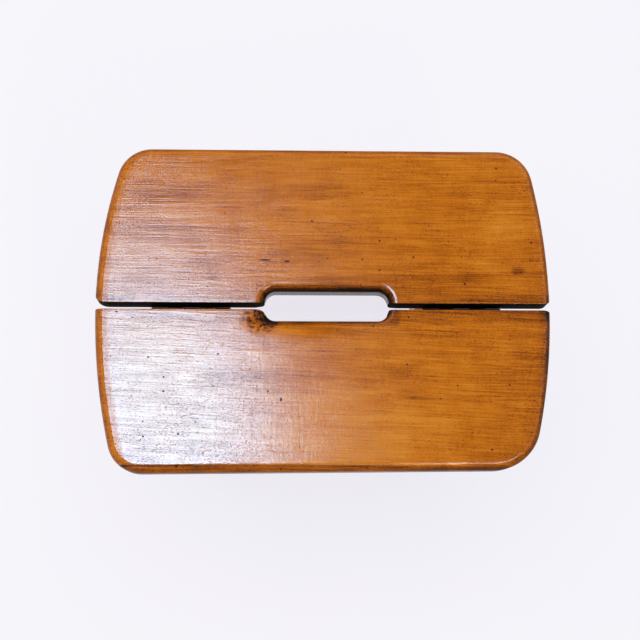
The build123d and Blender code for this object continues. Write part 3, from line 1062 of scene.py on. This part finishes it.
CARRIED = (
    CarriedGroup("outer legs", both_sides("outer_*_leg"),
                 frame_wood("varnished_outer_legs", Grain.UP_OUTER_LEG)),
    CarriedGroup("inner legs", both_sides("inner_*_leg"),
                 frame_wood("varnished_inner_legs", Grain.UP_INNER_LEG)),
    CarriedGroup("rails and rungs",
                 ("outer_top_rail", "outer_foot_rail", "inner_top_rung", "inner_foot_rung"),
                 frame_wood("varnished_rails", Grain.ALONG_RAILS)),
    CarriedGroup("pivot blocks", both_sides("front_*_pivot_block", "back_*_pivot_block"),
                 frame_wood("varnished_pivot_blocks", Grain.FRONT_TO_BACK)),
    # The hinges' steel is dark, and darkened further to near black as painted shade of the narrow
    # slit above them
    CarriedGroup("butt hinges", both_sides("*_hinge_front_plate", "*_hinge_back_plate",
                                           "*_hinge_pin"),
                 PlatedMetal("dark_hinge_steel_and_painted_shade", "#3b352c", "#28231c", 0.42)),
    CarriedGroup("zinc-plated fasteners",
                 both_sides("*_cross_bolt", "front_*_pivot_bolt", "back_*_pivot_bolt")
                 + ("cross_nuts", "cross_washers", "front_pivot_washers", "back_pivot_washers",
                    "back_pivot_studs", "outer_rail_screws", "front_hinge_screws",
                    "back_hinge_screws", "front_block_screws", "back_block_screws"),
                 PlatedMetal("bright_zinc_plated_steel", "#b9bec2", "#a3a8ab", 0.32)),
    CarriedGroup("brass inserts", ("front_pivot_inserts", "back_pivot_inserts"),
                 PlatedMetal("turned_brass", "#c8a04a", "#b58d3c", 0.3)),
)


@dataclass(frozen=True)
class Window:
    """The tall window over the stool: where it lies, and how bright it is across and along.

    The bright pane ends across where bright_x says, further left from bend_y on, and fades
    along as fade_y says. haze_x is where the dim part beside it ends. The varnish mirrors this
    brightness in the sky's colour; what the window casts on the stool is white and even.
    """

    name: str = "window"
    height: float = 1930.0
    low: tuple[float, float] = (-800.0, -300.0)
    high: tuple[float, float] = (420.0, 640.0)
    sky: str = "#a0dcff"
    radiance: float = 33.0
    bright_x: tuple[float, float] = (-155.0, 32.0)
    bend_share: float = 0.6
    bend_y: tuple[float, float] = (160.0, 460.0)
    fade_y: tuple[float, float] = (150.0, 590.0)
    fade_power: float = 1.2
    haze_radiance: float = 1.0
    haze_x: tuple[float, float] = (-50.0, 190.0)
    cast_radiance: float = 3.3

    def material(self) -> bpy.types.Material:
        """Daylight through the window, brightest low on the left and fading away from there.

        Returns:
            The material.
        """
        material = new_material(f"{self.name}_light")
        add = partial(add_node, material.node_tree)
        axes = add("SeparateXYZ", (add("TexCoord")["Object"],))
        bend_from, bend_to = (y * MM for y in self.bend_y)
        bent = add("MapRange", (
            axes["Y"], bend_from, bend_to, 0.0, self.bend_share * (bend_to - bend_from)))[0]
        across = add("Math", (axes["X"], bent))[0]
        pane = add("MapRange", (
            across, *(x * MM for x in self.bright_x), self.radiance, 0.0),
            interpolation_type=SMOOTH)[0]
        left, beside = (
            add("MapRange", (axes[axis], *(value * MM for value in ends), most, 0.0))[0]
            for axis, ends, most in (("Y", self.fade_y, 1.0),
                                     ("X", self.haze_x, self.haze_radiance)))
        faded = add("Math", (left, self.fade_power), operation="POWER")[0]
        haze = add("Math", (beside, left), operation="MULTIPLY")[0]
        seen = add("Math", (pane, faded, haze), operation="MULTIPLY_ADD")[0]
        cast, mirrored = (
            add("Emission", (linear(colour), radiance))[0]
            for colour, radiance in ((WHITE, self.cast_radiance), (self.sky, seen)))
        rays = add("LightPath")
        glow = add("MixShader", (rays["Is Glossy Ray"], cast, mirrored))[0]
        add("OutputMaterial", (glow,))
        return material


@dataclass(frozen=True)
class Panel:
    """A bright, level panel over the stool, from its lowest X and Y to its highest.

    One that is only_mirrored shows in the varnish and lights nothing.
    """

    name: str
    low: tuple[float, float]
    high: tuple[float, float]
    only_mirrored: bool
    height: float = 1930.0
    radiance: float = 18.0

    def material(self) -> bpy.types.Material:
        """Make the panel's even light.

        Returns:
            The material.
        """
        material = new_material(f"{self.name}_light")
        add = partial(add_node, material.node_tree)
        strength: Any = self.radiance
        if self.only_mirrored:
            mirrored = add("LightPath")["Is Glossy Ray"]
            strength = add("Math", (mirrored, strength), operation="MULTIPLY")[0]
        glow = add("Emission", (linear(WHITE), strength))[0]
        add("OutputMaterial", (glow,))
        return material


@dataclass
class Studio:
    """Floor, light and camera, in millimetres.

    The eye sees the floor's glow at one less shade_share of its strength, and the shaded paper
    for the rest, so a glow_strength a little over one still stays below white.
    """

    camera_place: tuple[float, float, float] = (-42.5, -212.7, 1546.2)
    camera_target: tuple[float, float, float] = (-3.56, -12.39, 430.0)
    camera_roll: float = -0.002
    nearest: float = 10.0
    furthest: float = 50000.0
    lens_pixels: float = 1300.0
    image_pixels: float = 640.0
    sensor: float = 36.0
    floor_half: float = 6000.0
    paper: str = "#f6f3da"
    paper_glow: str = "#efefff"
    glow_strength: float = 1.13
    shade_share: float = 0.34
    backdrop: str = "#f4f3f9"
    room_light: str = "#fbfbff"
    zenith_light: float = 0.12
    horizon_light: float = 0.92
    zenith_from: float = 0.7
    zenith_to: float = 0.95
    window: Window = field(default_factory=Window)
    panels: tuple[Panel, ...] = (
        Panel("lamp", (290.0, -1080.0), (450.0, -780.0), False),
        Panel("glint", (450.0, -930.0), (1080.0, -670.0), True),
    )

    def set_camera(self) -> None:
        """Put the camera where the photograph was taken from."""
        place, target = (Vector(point) * MM for point in (self.camera_place, self.camera_target))
        ahead = (target - place).normalized()
        right = ahead.cross(Vector((0, 1, 0))).normalized()
        data = bpy.data.cameras.new("photo_camera")
        data.sensor_width = self.sensor
        data.lens = self.sensor * self.lens_pixels / self.image_pixels
        data.clip_start = self.nearest * MM
        data.clip_end = self.furthest * MM
        camera = bpy.data.objects.new("photo_camera", data)
        bpy.context.scene.collection.objects.link(camera)
        aim = Matrix((right, right.cross(ahead), -ahead)).transposed().to_4x4()
        roll = Matrix.Rotation(self.camera_roll, 4, "Z")
        camera.matrix_world = Matrix.Translation(place) @ aim @ roll
        bpy.context.scene.camera = camera

    def add_sheet(self, name: str, low: tuple[float, float], high: tuple[float, float],
                  height: float, material: bpy.types.Material) -> bpy.types.Object:
        """Add a level sheet that isn't part of the stool.

        Args:
            name: the sheet's name.
            low: its lowest X and Y in millimetres.
            high: its highest X and Y in millimetres.
            height: its height in millimetres.
            material: its material.

        Returns:
            The sheet's object.
        """
        bm = bmesh.new()
        bmesh.ops.create_grid(bm, x_segments=1, y_segments=1, size=0.5)
        size = Vector((high[0] - low[0], high[1] - low[1], 0)) * MM
        middle = Vector(((low[0] + high[0]) / 2, (low[1] + high[1]) / 2, height)) * MM
        bmesh.ops.scale(bm, vec=(size.x, size.y, 1), verts=bm.verts)
        bmesh.ops.translate(bm, vec=middle, verts=bm.verts)
        sheet = new_object(bm, name)
        sheet.data.materials.append(material)
        return sheet

    def floor_material(self) -> bpy.types.Material:
        """Pale paper: the eye sees mostly its own colour, with a soft bluish shadow.

        Returns:
            The material.
        """
        material = new_material("pale_paper_floor")
        add = partial(add_node, material.node_tree)
        paper = add("BsdfDiffuse", (linear(self.paper),))[0]
        glow = add("Emission", (linear(self.paper_glow), self.glow_strength))[0]
        rays = add("LightPath")
        seen = rays["Is Camera Ray"]
        for name in ("Is Glossy Ray", "Is Transmission Ray"):
            seen = add("Math", (seen, rays[name]), operation="MAXIMUM")[0]
        share = add("Math", (seen, 1 - self.shade_share), operation="MULTIPLY")[0]
        mix = add("MixShader", (share, paper, glow))[0]
        add("OutputMaterial", (mix,))
        return material

    def set_world(self) -> None:
        """Give the room an even, pale light, weaker from straight above."""
        world = bpy.data.worlds.new("soft_room")
        bpy.context.scene.world = world
        world.use_nodes = True
        world.node_tree.nodes.clear()
        add = partial(add_node, world.node_tree)
        way = add("TexCoord")["Generated"]
        height = add("SeparateXYZ", (way,))["Z"]
        strength = add("MapRange", (
            height, self.zenith_from, self.zenith_to, self.horizon_light, self.zenith_light),
            interpolation_type=SMOOTH)[0]
        room, pale = (
            add("Background", (linear(colour), light))[0]
            for colour, light in ((self.room_light, strength), (self.backdrop, 1.0)))
        seen = add("LightPath")["Is Camera Ray"]
        mix = add("MixShader", (seen, room, pale))[0]
        add("OutputWorld", (mix,))

    def make(self) -> None:
        """Set up the floor, the lights and the camera."""
        half = self.floor_half
        self.add_sheet("floor", (-half, -half), (half, half), 0.0, self.floor_material())
        for light in (self.window, *self.panels):
            sheet = self.add_sheet(f"{light.name}_panel", light.low, light.high, light.height,
                                   light.material())
            sheet.visible_camera = False
        self.set_world()
        self.set_camera()
        bpy.context.scene.view_settings.view_transform = "Standard"
        log.info("studio: floor, window, lamp, glint and camera")


def main() -> None:
    """Dress the stool, piece by piece, and report each group."""
    logging.basicConfig(level=logging.INFO, format="%(message)s")
    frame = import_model()
    Seat().make()
    for group in CARRIED:
        group.dress(frame["nodes"])
    Studio().make()
    bpy.context.view_layer.update()


if __name__ == "__main__":
    main()
